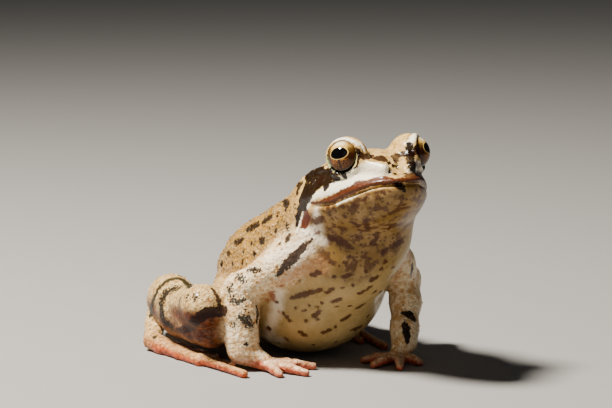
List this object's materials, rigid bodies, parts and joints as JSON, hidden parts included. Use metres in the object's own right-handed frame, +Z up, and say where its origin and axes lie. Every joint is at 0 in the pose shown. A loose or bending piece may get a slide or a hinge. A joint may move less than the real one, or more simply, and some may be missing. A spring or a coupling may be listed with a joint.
{
  "type": "common frog",
  "caption": "Life-size still figure of a common frog sitting upright on its hands, head raised, long hind legs folded at its sides.",
  "frame": {"origin": "on the floor, under the middle of the outline seen from above", "axes": "+Z up, -Y towards the nose, +X towards the frog's left"},
  "size_m": [0.0565, 0.078, 0.0512],
  "materials": {
    "skin": "moist granular skin, tan with dark brown spots, paler below",
    "digits": "smooth moist skin, orange fingers and toes",
    "eye": "wet clear cornea over a gold and copper iris with a black oval pupil"
  },
  "bodies": {
    "root": {"trunk": "skin", "head": "skin", "lower_jaw": "skin", "upper_arm_r": "skin", "forearm_r": "skin", "thigh_r": "skin", "shank_r": "skin", "tarsus_r": "skin", "hand_r": "digits", "foot_r": "digits", "eye_r": "eye", "upper_arm_l": "skin", "forearm_l": "skin", "thigh_l": "skin", "shank_l": "skin", "tarsus_l": "skin", "hand_l": "digits", "foot_l": "digits", "eye_l": "eye"}
  },
  "joints": []
}
